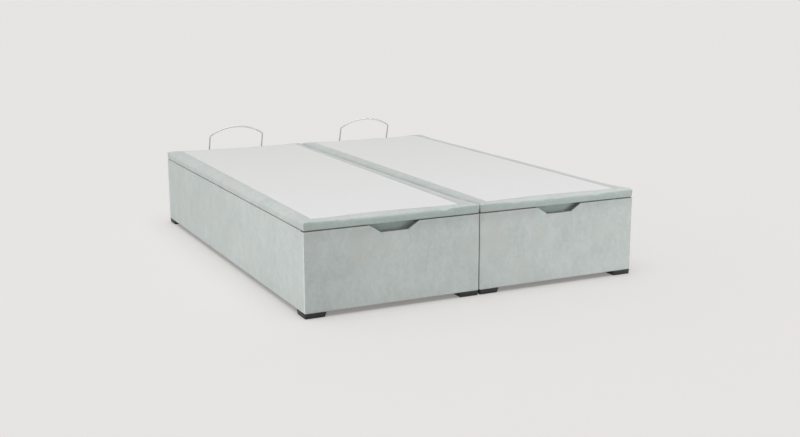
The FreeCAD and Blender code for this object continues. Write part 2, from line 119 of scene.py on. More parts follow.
class Finish:
    """The nodes of a material, or of the world."""

    def __init__(self, name, owners=bpy.data.materials):
        self.made = owners.new(name)
        self.made.use_nodes = True
        self.tree = self.made.node_tree
        self.tree.nodes.clear()

    def node(self, kind, settings, sockets, output=0):
        made = self.tree.nodes.new("ShaderNode" + kind)
        for key, value in settings.items():
            setattr(made, key, value)
        for key, value in sockets.items():
            if isinstance(value, Value):
                self.tree.links.new(value.socket, made.inputs[key])
            else:
                made.inputs[key].default_value = value
        return None if output is None else Value(self, made.outputs[output])

    def place(self, stretch=(1, 1, 1)):
        """The point in the bed's own frame, with each axis scaled."""
        point = self.node("TexCoord", {}, {}, "Object")
        return self.node("VectorMath", {"operation": "MULTIPLY"}, {0: point, 1: stretch})

    def cloud(self, scale, detail=2.0, stretch=(1, 1, 1), distortion=0.0):
        return self.node("TexNoise", {}, {"Vector": self.place(stretch), "Scale": scale, "Detail": detail,
                                          "Distortion": distortion})

    def dot(self, vector, axis):
        return self.node("VectorMath", {"operation": "DOT_PRODUCT"}, {0: vector, 1: axis}, "Value")

    def along(self, axis):
        """How far along an axis of the bed the point lies."""
        return self.dot(self.place(), axis)

    def facing(self, axis):
        """1 where the piece faces along an axis of the bed, either way, and 0 where it stands square to it."""
        return self.dot(self.node("TexCoord", {}, {}, "Normal"), axis).math("ABSOLUTE")

    def seen(self):
        """1 for what the camera sees, also in a mirror or through glass, and 0 for what lights the bed."""
        camera, glossy, through = [self.node("LightPath", {}, {}, "Is " + ray + " Ray")
                                   for ray in ("Camera", "Glossy", "Transmission")]
        return camera.math("MAXIMUM", glossy).math("MAXIMUM", through)

    def blend(self, factor, first, second):
        return self.node("Mix", {"data_type": "RGBA"}, {0: factor, 6: first, 7: second}, 2)

    def bump(self, height, strength, distance):
        return self.node("Bump", {}, {"Height": height, "Strength": strength, "Distance": distance})

    def surface(self, **sockets):
        named = {key.replace("_", " "): value for key, value in sockets.items()}
        shader = self.node("BsdfPrincipled", {}, named)
        self.node("OutputMaterial", {}, {"Surface": shader}, output=None)
        return self.made


# Mesh building ------------------------------------------------------

def in_row(points, side):
    """Points of one unit, counted from its middle and its foot-end face, in the row frame."""
    return np.asarray(points, float) + np.array([side * UNIT_PITCH / 2, FRONT_Y, 0.0])


def mesh_of(name, points, faces):
    mesh = bpy.data.meshes.new(name)
    mesh.from_pydata([tuple(point) for point in points], [], faces)
    return mesh


def put_in_scene(name, content):
    made = bpy.data.objects.new(name, content)
    bpy.context.scene.collection.objects.link(made)
    return made


def piece(name, points, faces, finish, body, slot, replaces=()):
    mesh = mesh_of(name, points, faces)
    mesh.validate()
    mesh.polygons.foreach_set("use_smooth", [True] * len(mesh.polygons))
    mesh.materials.append(finish)
    made = put_in_scene(name, mesh)
    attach(made, body)
    if replaces:
        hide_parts(*replaces)
    return made


def apply_modifiers(made):
    evaluated = made.evaluated_get(bpy.context.evaluated_depsgraph_get())
    mesh = bpy.data.meshes.new_from_object(evaluated)
    made.modifiers.clear()
    made.data = mesh


def modify(made, kind, **settings):
    modifier = made.modifiers.new(kind.lower(), kind)
    for key, value in settings.items():
        setattr(modifier, key, value)
    return modifier


def strips(rows, columns, joined=False):
    """Quads between neighbouring rings of points; joined also runs them from the last ring to the first."""
    faces = []
    for row in range(rows if joined else rows - 1):
        low, high = row * columns, (row + 1) % rows * columns
        for column in range(columns):
            after = (column + 1) % columns
            faces.append((low + column, low + after, high + after, high + column))
    return faces


def capped(rows, columns):
    """The strips of a solid bar, with a face over each end."""
    last = (rows - 1) * columns
    return strips(rows, columns) + [tuple(range(columns))[::-1], tuple(range(last, last + columns))]


def full_turn(steps):
    return [2 * math.pi * step / steps for step in range(steps)]


def lathe(profile, steps, centre, axis):
    """Points and faces of a profile of (radius, height) turned about an axis."""
    turn = Vector((0, 0, 1)).rotation_difference(Vector(axis)).to_matrix()
    points = [turn @ Vector((radius * math.cos(angle), radius * math.sin(angle), height)) + Vector(centre)
              for radius, height in profile for angle in full_turn(steps)]
    return points, capped(len(profile), steps)


def tube(path, radius, steps, chamfer=0.0):
    """Points and faces of a round bar along a path, chamfered at its start and hollow for the last step."""
    path = [Vector(point) for point in path]
    last = len(path) - 1
    rings = []
    across = None
    for index, middle in enumerate(path):
        along = (path[min(index + 1, last)] - path[max(index - 1, 0)]).normalized()
        across = along.orthogonal() if across is None else across - along * across.dot(along)
        across.normalize()
        rings.append([middle, across.copy(), along.cross(across), radius, along])
    for end, inward in ((0, 1), (last, -1)):
        face = list(rings[end])
        face[3] = radius - chamfer
        rings[end][0] = rings[end][0] + rings[end][4] * chamfer * inward
        rings.insert(0 if end == 0 else len(rings), face)
    points = [middle + own * (across * math.cos(angle) + upright * math.sin(angle))
              for middle, across, upright, own, _ in rings for angle in full_turn(steps)]
    return points, capped(len(rings), steps)


def renumbered(faces, start):
    return [tuple(start + index for index in face) for face in faces]


def merged(parts):
    """One list of points and faces from several."""
    points, faces = [], []
    for part_points, part_faces in parts:
        faces.extend(renumbered(part_faces, len(points)))
        points.extend(part_points)
    return points, faces


PUFF_FRAMES = 20
PUFF_PRESSURE = 4.0
PUFF_SLACK = 0.002
PUFF_REACH = 0.0014
PUFF_TENSION = 40.0
PUFF_BENDING = 6.0
PUFF_QUALITY = 3


def puff(made, held):
    """Lets the padding press a cover out between its held rows, no further than PUFF_REACH."""
    scene = bpy.context.scene
    made.vertex_groups.new(name="held").add(held, 1.0, "REPLACE")
    cloth = modify(made, "CLOTH")
    cloth.settings.vertex_group_mass = "held"
    cloth.settings.use_pressure = True
    cloth.settings.uniform_pressure_force = PUFF_PRESSURE
    cloth.settings.shrink_min = -PUFF_SLACK
    cloth.settings.tension_stiffness = cloth.settings.compression_stiffness = PUFF_TENSION
    cloth.settings.bending_stiffness = PUFF_BENDING
    cloth.settings.quality = PUFF_QUALITY
    cloth.settings.effector_weights.gravity = 0
    cloth.point_cache.frame_start, cloth.point_cache.frame_end = 1, PUFF_FRAMES
    for frame_number in range(1, PUFF_FRAMES + 1):
        scene.frame_set(frame_number)
    pressed = made.evaluated_get(bpy.context.evaluated_depsgraph_get()).data
    moves = [after.co - before.co for after, before in zip(pressed.vertices, made.data.vertices)]
    made.modifiers.clear()
    made.vertex_groups.clear()
    for vertex, move in zip(made.data.vertices, moves):
        vertex.co += move * (PUFF_REACH / max(move.length, PUFF_REACH))
    scene.frame_set(1)


def ripple(point, scale, seed=0.0):
    """Smooth noise from -1 to 1; scale is the size of one wave in metres on each axis."""
    x, y, z = [place / size for place, size in zip(point, scale)]
    return noise.noise(Vector((x + seed, y - seed, z + seed)))


# Lines across and along a unit --------------------------------------

LINE_GROWTH = 1.3


def line_places(half, fine, coarse):
    """Places from -half to half, close together near the ends."""
    places, step, reach = [0.0], fine, 0.0
    while reach + step < half:
        reach += step
        places.append(reach)
        step = min(step * LINE_GROWTH, coarse)
    ends = [half - place for place in places]
    middle = [0.0] if ends[-1] > coarse / 2 else []
    return np.array([-end for end in ends] + middle + ends[::-1])


def round_corners(x, y, half_x, half_y, radius):
    """Moves points of concentric rectangles on to rectangles with rounded corners."""
    inset = np.minimum(half_x - abs(x), half_y - abs(y))
    a, b, own = half_x - inset, half_y - inset, np.maximum(radius - inset, 1e-9)
    across = (half_y - abs(y)) <= (half_x - abs(x))
    run = np.clip(np.where(across, abs(x) - (a - own), abs(y) - (b - own)) / own, 0, 1)
    angle = run * math.pi / 4
    reach_x = np.where(across, a - own + own * np.sin(angle), a - own + own * np.cos(angle))
    reach_y = np.where(across, b - own + own * np.cos(angle), b - own + own * np.sin(angle))
    bent = run > 0
    return np.where(bent, np.sign(x) * reach_x, x), np.where(bent, np.sign(y) * reach_y, y)


def perimeter(x_lines, y_lines):
    """Stations round the outline as line numbers, anticlockwise from the outer foot-end corner."""
    last_x, last_y = len(x_lines) - 1, len(y_lines) - 1
    front = [(i, 0) for i in range(last_x)]
    right = [(last_x, j) for j in range(last_y)]
    back = [(i, last_y) for i in range(last_x, 0, -1)]
    left = [(0, j) for j in range(last_y, 0, -1)]
    return front + right + back + left


def inset_line(value, half, inset):
    """A line's place on an outline that lies inset: lines near the middle stay where they are."""
    keep = 0.7 * half
    beyond = np.maximum(abs(value) - keep, 0)
    return np.sign(value) * (np.minimum(abs(value), keep) + beyond * (half - inset - keep) / (half - keep))


def loop_points(stations, x_lines, y_lines, inset_x, inset_y, radius):
    x = inset_line(np.array([x_lines[i] for i, _ in stations]), HALF_WIDTH, inset_x)
    y = inset_line(np.array([y_lines[j] for _, j in stations]), LENGTH / 2, inset_y)
    x, y = round_corners(x, y, HALF_WIDTH - inset_x, LENGTH / 2 - inset_y, radius)
    return x, y + LENGTH / 2


# Base cover ---------------------------------------------------------

BASE_ROLL = 0.0028
BASE_FOLD_ROLL = 0.0035
BASE_FOLD_INSET = 0.0235
BASE_FOLD_BOTTOM = BASE_TOP - 0.030
BASE_CLOTH = 0.0013
BASE_HEM = 0.034
HEADBOARD_X = 0.2
HEADBOARD_HEIGHT = 0.230
HEADBOARD_HOLE = 0.00425
CUTOUT_SOFTNESS = 0.035
SLOPE_MARGIN = 0.010
SLOPE_STEP = 0.002
PUCKER_DEPTH = 0.0011
PUCKER_FADE = 0.030
PUCKER_START = 0.008


def cutout_drop(x, y):
    """How far the top edge drops at a place on the foot end, with soft corners."""
    share = (CUTOUT_TOP_HALF - abs(x)) / (CUTOUT_TOP_HALF - CUTOUT_BOTTOM_HALF)
    eased = (np.hypot(share, CUTOUT_SOFTNESS) - np.hypot(share - 1, CUTOUT_SOFTNESS) + 1) / 2
    eased = np.clip((eased - 0.01) / 0.98, 0, 1)
    return np.where(y < LENGTH / 2, CUTOUT_DEPTH * eased, 0.0)


def cutout_lines(x_lines):
    """Lines across a unit with close ones over the cut-out's slopes."""
    slope = np.arange(CUTOUT_BOTTOM_HALF - SLOPE_MARGIN, CUTOUT_TOP_HALF + SLOPE_MARGIN, SLOPE_STEP)
    clear = [x for x in x_lines if not slope[0] - SLOPE_STEP / 2 < abs(x) < slope[-1] + SLOPE_STEP / 2]
    return np.sort(np.concatenate([clear, slope, -slope]))


def roll(centre_inset, centre_z, radius, start, end, steps):
    """Inset and height of points on an arc; 0 degrees points out and 90 up."""
    angles = np.radians(np.linspace(start, end, steps))
    return [(centre_inset - radius * math.cos(a), centre_z + radius * math.sin(a)) for a in angles]


def base_profile():
    """(inset, height, share of the cut-out's drop) round the cloth's section, outside first."""
    outside = [(BASE_HEM, BASE_BOTTOM), (0.022, BASE_BOTTOM), (0.011, BASE_BOTTOM)]
    outside += roll(BASE_ROLL, BASE_BOTTOM + BASE_ROLL, BASE_ROLL, -90, 0, 5)
    low, high = BASE_BOTTOM + BASE_ROLL, BASE_TOP - BASE_ROLL
    ease = (1 - np.cos(np.linspace(0, math.pi, 30))) / 2
    shares = 0.55 * np.linspace(0, 1, 30) + 0.45 * ease
    outside += [(0.0, low + (high - low) * share) for share in shares[1:-1]]
    outside += roll(BASE_ROLL, high, BASE_ROLL, 0, 90, 6)
    outside += [(0.009, BASE_TOP), (0.0145, BASE_TOP)]
    outside += roll(BASE_FOLD_INSET - BASE_FOLD_ROLL, BASE_TOP - BASE_FOLD_ROLL, BASE_FOLD_ROLL, 90, 180, 5)
    outside += [(BASE_FOLD_INSET, z) for z in np.linspace(BASE_TOP - 0.008, BASE_FOLD_BOTTOM, 5)]
    fold_back = BASE_FOLD_INSET - BASE_CLOTH
    inside = [(fold_back, BASE_FOLD_BOTTOM), (fold_back, BASE_TOP - 0.005),
              (BASE_FOLD_INSET - 0.004, BASE_TOP - BASE_CLOTH), (0.0050, BASE_TOP - BASE_CLOTH)]
    inside += [(BASE_CLOTH, z) for z in np.linspace(high, low, 8)]
    inside += [(0.0050, BASE_BOTTOM + BASE_CLOTH), (BASE_HEM, BASE_BOTTOM + BASE_CLOTH)]

    def drop_share(inset, z):
        if inset > 0.02 and z >= BASE_FOLD_BOTTOM:
            return 0.55 + 0.45 * (z - BASE_FOLD_BOTTOM) / (BASE_TOP - BASE_FOLD_BOTTOM)
        return min(max((z - low) / (high - low), 0.0), 1.0) ** 4
    return [(inset, z, drop_share(inset, z)) for inset, z in outside + inside], len(outside)


def base_relief(x, y, z, side, seed):
    """How far the velvet stands out from the board at a place on the outside."""
    point = (x + side * UNIT_PITCH / 2, y, z)
    relief = 0.00055 * ripple(point, (0.22, 0.30, 0.15), seed)
    relief += 0.00022 * ripple(point, (0.05, 0.07, 0.09), seed + 9)
    if y < 0.02:
        for corner, lean in ((-CUTOUT_BOTTOM_HALF, -1), (CUTOUT_BOTTOM_HALF, 1)):
            dx, dz = x - corner, z - (BASE_TOP - CUTOUT_DEPTH)
            reach = math.hypot(dx, dz)
            if dz < 0 and reach > 0.002:
                wave = math.sin(9 * math.atan2(dx * lean, -dz) + seed + lean)
                relief += PUCKER_DEPTH * wave * math.exp(-reach / PUCKER_FADE) * min(reach / PUCKER_START, 1)
    return relief


def base_cover(unit, side, velvet):
    x_lines = cutout_lines(line_places(HALF_WIDTH, 0.0016, 0.0062))
    y_lines = line_places(LENGTH / 2, 0.0016, 0.014)
    stations = perimeter(x_lines, y_lines)
    profile, outside = base_profile()
    rows = []
    for index, (inset, height, share) in enumerate(profile):
        x, y = loop_points(stations, x_lines, y_lines, inset, inset, max(CORNER_RADIUS - inset, 0))
        z = height - share * cutout_drop(x, y)
        row = np.stack([x, y, z], 1)
        if inset < BASE_ROLL and index < outside:
            out_x = np.where(abs(x) > HALF_WIDTH - CORNER_RADIUS, np.sign(x), 0)
            out_y = np.where(abs(y - LENGTH / 2) > LENGTH / 2 - CORNER_RADIUS, np.sign(y - LENGTH / 2), 0)
            relief = np.array([base_relief(px, py, pz, side, 3.0 + side) for px, py, pz in row])
            near = np.maximum(np.hypot(out_x, out_y), 1) / (1 - inset / BASE_ROLL)
            row[:, 0] += relief * out_x / near
            row[:, 1] += relief * out_y / near
        rows.append(row)
    points = in_row(np.concatenate(rows), side)
    faces = strips(len(rows), len(stations), joined=True)
    made = piece(unit + "_base_cover_velvet", points, faces, velvet, "base", "velvet", [unit + "_base_cover"])
    pierce(made, side)


def pierce(made, side):
    """Cuts the two holes for a headboard's bolts through the velvet at the head end."""
    bore = [(HEADBOARD_HOLE, -0.01), (HEADBOARD_HOLE, 0.01)]
    holes = [lathe(bore, 24, (x, LENGTH, HEADBOARD_HEIGHT), (0, 1, 0)) for x in (-HEADBOARD_X, HEADBOARD_X)]
    points, faces = merged(holes)
    name = "headboard_hole_cutter"
    cutter = put_in_scene(name, mesh_of(name, in_row(points, side), faces))
    modify(made, "BOOLEAN", operation="DIFFERENCE", solver="EXACT", object=cutter)
    apply_modifiers(made)
    bpy.data.objects.remove(cutter)


# Lid padding --------------------------------------------------------

LID_ROLL = 0.0028
LID_TUCK = 0.0020
LID_CLOTH = 0.0013
PLATFORM_CLOTH = 0.0010
LID_HEM = 0.024
HELD_HEM_ROWS = 7
SEAM_DEPTH = 0.0014
SEAM_WIDTH = 0.0022
SEAM_SLACK = 0.006
LEAST_RADIUS = 0.0005
BOARD_TOP = 0.3807
FOAM_CLEARANCE = 0.0032
FOAM_LEAST = 0.0005

# Distances of rows inside the seam, how much deeper some are tucked, and the rows that the padding lifts
COVER_SEAM = (-0.0046, -0.0032, -0.0021, -0.0012, -0.0005, 0.0004, 0.0012)
COVER_TUCK = {-2: 0.0008, -1: 0.0020}
CLOTH_SEAM = (-0.0004, 0.0002, 0.0010, 0.0022, 0.0038, 0.006, 0.010, 0.016)
CLOTH_TUCK = {0: 0.0006}
RELIEF_ROWS = slice(8, -4)


def roll_reach(edge):
    """How far in an edge roll ends and the crown begins."""
    roll_radius, crown_angle = edge
    return roll_radius * (1 - math.sin(crown_angle))


def crown_height(inset, edge=FULL_EDGE):
    crown_end = roll_reach(edge) + CROWN_RADIUS * math.sin(edge[1])
    reach = np.maximum(crown_end - inset, 0)
    return LID_TOP - CROWN_RADIUS + np.sqrt(CROWN_RADIUS ** 2 - reach ** 2)


def lid_profile(edge, shrink=0.0):
    """(inset at the sides, inset at the ends, height at each, corner radius) from hem to seam."""
    rows = []
    roll_radius, crown_angle = edge
    roll_end = roll_reach(edge)
    roll_base = crown_height(roll_end, edge) - roll_radius * math.cos(crown_angle)

    def same(inset, height, radius=CORNER_RADIUS):
        rows.append((inset + shrink, inset + shrink, height, height, radius))
    same(LID_HEM, LID_BOTTOM, 0.001)
    same(0.014, LID_BOTTOM, 0.001)
    for inset, height in roll(LID_ROLL + LID_TUCK, LID_BOTTOM + LID_ROLL, LID_ROLL, -90, 0, 4):
        same(inset, height)
    for share in np.linspace(0, 1, 7)[1:-1]:
        rise = share * (roll_base - LID_BOTTOM - LID_ROLL)
        same(LID_TUCK * (1 - share) ** 2, LID_BOTTOM + LID_ROLL + rise)
    for inset, height in roll(roll_radius, roll_base, roll_radius, 0, 90 - math.degrees(crown_angle), 9):
        same(inset, height - shrink)
    for share in np.linspace(0, 1, 10)[1:]:
        side, end = [roll_end + share * (border - SEAM_SLACK - roll_end)
                     for border in (SIDE_BORDER, END_BORDER)]
        rows.append((side + shrink, end + shrink, crown_height(side, edge) - shrink,
                     crown_height(end, edge) - shrink, CORNER_RADIUS))
    return rows


def seam_rows(distances, tuck):
    """Rows at given distances inside the seam, which they sink into, with some tucked deeper."""
    dips = [SEAM_DEPTH * math.exp(-(distance / SEAM_WIDTH) ** 2) for distance in distances]
    for row, depth in tuck.items():
        dips[row] += depth
    rows = []
    for distance, dip in zip(distances, dips):
        side, end = SIDE_BORDER + distance, END_BORDER + distance
        rows.append((side, end, crown_height(side) - dip, crown_height(end) - dip,
                     max(CORNER_RADIUS - max(distance, 0), LEAST_RADIUS)))
    return rows


def lid_lines(fine=0.0022, across=0.0066, along=0.014):
    return line_places(HALF_WIDTH, fine, across), line_places(LENGTH / 2, fine, along)


def lid_rows(profile, x_lines, y_lines):
    stations = perimeter(x_lines, y_lines)
    end_share = np.array([1.0 if j in (0, len(y_lines) - 1) else 0.0 for _, j in stations])
    rows = []
    for side_inset, end_inset, side_height, end_height, radius in profile:
        x, y = loop_points(stations, x_lines, y_lines, side_inset, end_inset, radius)
        a, b = HALF_WIDTH - side_inset, LENGTH / 2 - end_inset
        past_x = np.clip((abs(x) - (a - radius)) / radius, 0, 1)
        past_y = np.clip((abs(y - LENGTH / 2) - (b - radius)) / radius, 0, 1)
        turn = np.arctan2(past_y, past_x) / (math.pi / 2)
        share = np.where((past_x > 0) & (past_y > 0), turn, end_share)
        rows.append(np.stack([x, y, side_height + share * (end_height - side_height)], 1))
    return rows


def padded_rows(x_lines, y_lines, shrink=0.0):
    """The lid's rows from hem to seam: its edge is pulled tight at the corners and full between them."""
    tight, full = [lid_rows(lid_profile(edge, shrink), x_lines, y_lines) for edge in (TIGHT_EDGE, FULL_EDGE)]
    to_corner = np.maximum(HALF_WIDTH - abs(tight[0][:, 0]), LENGTH / 2 - abs(tight[0][:, 1] - LENGTH / 2))
    share = np.clip(to_corner / FULL_EDGE_REACH, 0, 1)
    share = (share * share * (3 - 2 * share))[:, None]
    return [near * (1 - share) + far * share for near, far in zip(tight, full)]


def sew_in(points, side, share):
    """Moves points as a platform cloth was sewn in: a little askew, and bowed inward at the foot end."""
    x, y = points[:, 0].copy(), points[:, 1].copy()
    near, far = CLOTH_SHIFT[side]
    across = np.clip(1 - (x / (HALF_WIDTH - SIDE_BORDER)) ** 2, 0, 1)
    bow = SEAM_BOW * share * across * np.clip(1 - y / SEAM_BOW_REACH, 0, 1) ** 2
    points[:, 0] += share * (near + (far - near) * y / LENGTH)
    points[:, 1] += bow
    points[:, 2] += crown_height(y + bow) - crown_height(y)


def padding_relief(point, side):
    """How far the padding stands up or sinks at a place on the lid's border."""
    row = (point[0] + side * UNIT_PITCH / 2, point[1], point[2])
    broad = 0.0010 * ripple(row, (0.16, 0.16, 0.05), 5.0 + side)
    return broad + 0.0005 * ripple(row, (0.045, 0.045, 0.03), 11.0)


def lid_cover(unit, side, velvet):
    x_lines, y_lines = lid_lines()
    seam = seam_rows(COVER_SEAM, COVER_TUCK)
    rows = padded_rows(x_lines, y_lines) + lid_rows(seam, x_lines, y_lines)
    roll_end = roll_reach(TIGHT_EDGE)
    for (inset, *_), row in zip(lid_profile(TIGHT_EDGE) + seam, rows):
        sew_in(row, side, min(max((inset - roll_end) / (SIDE_BORDER - roll_end), 0), 1))
    for row in rows[RELIEF_ROWS]:
        for point in row:
            point[2] += padding_relief(point, side)
    points = in_row(np.concatenate(rows), side)
    count = len(rows[0])
    made = piece(unit + "_lid_cover_velvet", points, strips(len(rows), count), velvet,
                 unit + "_lid", "velvet", [unit + "_lid_cover"])
    hem, seam_start = HELD_HEM_ROWS * count, (len(rows) - len(seam)) * count
    puff(made, [*range(hem), *range(seam_start, len(points))])
    modify(made, "SOLIDIFY", thickness=LID_CLOTH, offset=-1, use_even_offset=False)
    apply_modifiers(made)


def grid_inside(x_lines, y_lines, row, height):
    """The points and faces that fill the innermost row of a lid with the lines' own grid."""
    stations = perimeter(x_lines, y_lines)
    index = {place: number for number, place in enumerate(stations)}
    inset_x = HALF_WIDTH - row[:, 0].max()
    inset_y = LENGTH - row[:, 1].max()
    xs = inset_line(x_lines, HALF_WIDTH, inset_x)
    ys = inset_line(y_lines, LENGTH / 2, inset_y) + LENGTH / 2
    points = []
    for j in range(1, len(y_lines) - 1):
        for i in range(1, len(x_lines) - 1):
            index[(i, j)] = len(stations) + len(points)
            points.append((xs[i], ys[j], height(xs[i], ys[j])))
    faces = [(index[(i, j)], index[(i + 1, j)], index[(i + 1, j + 1)], index[(i, j + 1)])
             for j in range(len(y_lines) - 1) for i in range(len(x_lines) - 1)]
    return np.array(points), faces


def edge_distance(x, y):
    return min(HALF_WIDTH - abs(x), y, LENGTH - y)


def platform_height(side):
    def height(x, y):
        row = (x + side * UNIT_PITCH / 2, y, 0.0)
        waves = 0.0005 * ripple(row, (0.30, 0.30, 1.0), 21.0) + 0.00025 * ripple(row, (0.09, 0.12, 1.0), 31.0)
        return float(crown_height(edge_distance(x, y))) + waves
    return height


def platform_cloth(unit, side, cloth):
    x_lines, y_lines = lid_lines()
    rows = lid_rows(seam_rows(CLOTH_SEAM, CLOTH_TUCK), x_lines, y_lines)
    middle, middle_faces = grid_inside(x_lines, y_lines, rows[-1], platform_height(side))
    count = len(rows[0])
    faces = strips(len(rows), count) + renumbered(middle_faces, (len(rows) - 1) * count)
    points = np.concatenate(rows + [middle])
    sew_in(points, side, 1.0)
    made = piece(unit + "_platform_cloth", in_row(points, side), faces, cloth, unit + "_lid", "platform_cloth",
                 [unit + "_lid_top_cloth"])
    modify(made, "SOLIDIFY", thickness=PLATFORM_CLOTH, offset=-1)
    apply_modifiers(made)


def lid_foam(unit, side, foam):
    x_lines, y_lines = lid_lines(0.006, 0.030, 0.060)
    rows = [row for row in padded_rows(x_lines, y_lines, FOAM_CLEARANCE)
            if row[:, 2].min() > BOARD_TOP + FOAM_LEAST]
    rows.insert(0, np.stack([rows[0][:, 0], rows[0][:, 1], np.full(len(rows[0]), BOARD_TOP)], 1))
    count = len(rows[0])
    top, top_faces = grid_inside(x_lines, y_lines, rows[-1], lambda x, y: float(
        crown_height(edge_distance(x, y) - FOAM_CLEARANCE)) - FOAM_CLEARANCE)
    low_middle, low_faces = grid_inside(x_lines, y_lines, rows[0], lambda x, y: BOARD_TOP)
    shift = (len(rows) - 1) * count
    faces = strips(len(rows), count) + renumbered(top_faces, shift)
    base_shift = shift + count + len(top)
    faces += [tuple(vertex if vertex < count else base_shift + vertex - count for vertex in face)[::-1]
              for face in low_faces]
    points = in_row(np.concatenate(rows + [top, low_middle]), side)
    made = piece(unit + "_lid_padding", points, faces, foam, unit + "_lid", "foam", [unit + "_lid_foam"])


GRIP_BEND = 0.006
GRIP_COLUMNS = 150


def grip_facing(unit, velvet):
    """The covered rail behind the hand cut-out, with the cloth rolled over its lower edge."""
    low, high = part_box(unit + "_grip_facing")
    half = (high.y - low.y) / 2
    bend = low.z + GRIP_BEND
    section = [(0.0, z) for z in np.linspace(high.z, bend, 6)]
    section += roll(half, low.z + half, half, 0, -180, 7)
    section += [(2 * half, bend), (2 * half, high.z)]
    points = []
    for x in np.linspace(low.x, high.x, GRIP_COLUMNS):
        for depth, height in section:
            wave = 0.0004 * ripple((x, 0, height), (0.05, 1, 0.05), 41.0) if depth == 0 else 0
            points.append((x, low.y + depth + wave, height))
    made = piece(unit + "_grip_facing_velvet", points, capped(GRIP_COLUMNS, len(section)), velvet,
                 unit + "_lid", "velvet", [unit + "_grip_facing"])


# Mattress hoops -----------------------------------------------------

def hoop_path():
    """The wire's middle line from foot to foot: legs that lean forward, small corners and one wide arch."""
    bend_y = HOOP_Y - HOOP_CORNER

    def before_leaning(height):
        return HOOP_BEND + (height - HOOP_BEND - HOOP_CORNER * math.sin(HOOP_LEAN)) / math.cos(HOOP_LEAN)

    def leaned(x, z):
        rise = z - HOOP_BEND
        return (x, bend_y + HOOP_CORNER * math.cos(HOOP_LEAN) - rise * math.sin(HOOP_LEAN),
                HOOP_BEND + HOOP_CORNER * math.sin(HOOP_LEAN) + rise * math.cos(HOOP_LEAN))
    crest = before_leaning(HOOP_CREST)
    rise = crest - before_leaning(HOOP_SHOULDER)
    arch_radius = (HOOP_HALF ** 2 + rise ** 2) / (2 * rise)
    arch_z = crest - arch_radius
    turn_x = HOOP_HALF - HOOP_CORNER
    turn_z = arch_z + math.sqrt((arch_radius - HOOP_CORNER) ** 2 - turn_x ** 2)
    slope = math.atan2(turn_x, turn_z - arch_z)
    right = [(HOOP_HALF, HOOP_Y, z) for z in np.linspace(HOOP_FOOT, HOOP_BEND, 4)]
    right += [(HOOP_HALF, bend_y + HOOP_CORNER * math.cos(a), HOOP_BEND + HOOP_CORNER * math.sin(a))
              for a in np.linspace(0, HOOP_LEAN, 5)[1:]]
    right += [leaned(HOOP_HALF, z) for z in np.linspace(HOOP_BEND, turn_z, 8)[1:]]
    right += [leaned(turn_x + HOOP_CORNER * math.cos(a), turn_z + HOOP_CORNER * math.sin(a))
              for a in np.linspace(0, math.pi / 2 - slope, 9)[1:]]
    right += [leaned(arch_radius * math.sin(a), arch_z + arch_radius * math.cos(a))
              for a in np.linspace(slope, 0, 16)[1:]]
    return right + [(-x, y, z) for x, y, z in right[-2::-1]]


def mattress_hoop(unit, side, steel):
    points, faces = tube(hoop_path(), HOOP_WIRE, 20, 0.0008)
    piece(unit + "_hoop_wire", in_row(points, side), faces, steel, unit + "_lid", "hoop_steel",
          [unit + "_mattress_hoop"])


# Screws and staples -------------------------------------------------

# Rings of a screw's head as shares of its radius and height, and how high the floor of its cross is
SCREW_RINGS = ((1.0, 0.0), (1.0, 0.35), (0.93, 0.62), (0.78, 0.82),
               (0.56, 0.94), (0.46, 0.96), (0.26, 0.99), (0.14, 0.3))
SCREW_STEPS = 32
CROSS_REACH = 0.5
CROSS_WIDTH = 0.4
CROSS_FLOOR = 0.3

# Radius and height of the heads
BRACKET_SCREW = (0.0036, 0.0022)
LEAF_SCREW = (0.0034, 0.00009)
LINK_SCREW = (0.0040, 0.0018)
SADDLE_SCREW = (0.0030, 0.0018)

# Where the hardware's screws sit
BASE_BRACKET = (0.3755, 1.9003, 0.0825)
LID_BRACKET = (0.3520, 1.7569, 0.3402)
BRACKET_SCREW_Y = 0.022
HINGE_X = 0.240
HINGE_SCREW_X = (-0.027, 0, 0.027)
HINGE_SCREW_Y = 2.0890
BASE_LEAF_FACE = 0.3595
LID_LEAF_FACE = 0.3597
SADDLE_FACE_Y = 2.1015
SADDLE_Z = 0.3727
SADDLE_SCREW_X = 0.0121
LINK_FACE = 0.019
LINK_SCREW_X = (0.016, 0.061, 0.106)
LINK_Y = (0.551, 1.549)
HANDS = (-1, 1)


def screw(place, axis, size):
    """A domed head with a cross recess, seated on what it holds."""
    radius, height = size
    turn = Vector((0, 0, 1)).rotation_difference(Vector(axis)).to_matrix()
    points = []
    for share, rise in SCREW_RINGS:
        for angle in full_turn(SCREW_STEPS):
            in_cross = share < CROSS_REACH and abs(math.sin(2 * angle)) < CROSS_WIDTH
            local = Vector((radius * share * math.cos(angle), radius * share * math.sin(angle),
                            height * (CROSS_FLOOR if in_cross else rise)))
            points.append(turn @ local + Vector(place))
    return points, capped(len(SCREW_RINGS), SCREW_STEPS)


def bracket_screws(bracket):
    x, y, z = bracket
    return [screw((hand * x, y + end * BRACKET_SCREW_Y, z), (-hand, 0, 0), BRACKET_SCREW)
            for hand in HANDS for end in HANDS]


def hinge_screws(height, up):
    return [screw((hand * HINGE_X + across, HINGE_SCREW_Y, height), (0, 0, up), LEAF_SCREW)
            for hand in HANDS for across in HINGE_SCREW_X]


def base_screws(steel):
    parts = [screw((hand * x, FRONT_Y + y, LINK_FACE), (0, 0, -1), LINK_SCREW)
             for hand in HANDS for x in LINK_SCREW_X for y in LINK_Y]
    for side in UNITS.values():
        points, faces = merged(bracket_screws(BASE_BRACKET) + hinge_screws(BASE_LEAF_FACE, 1))
        parts.append((list(in_row(points, side)), faces))
    piece("base_screws", *merged(parts), steel, "base", "zinc_steel")


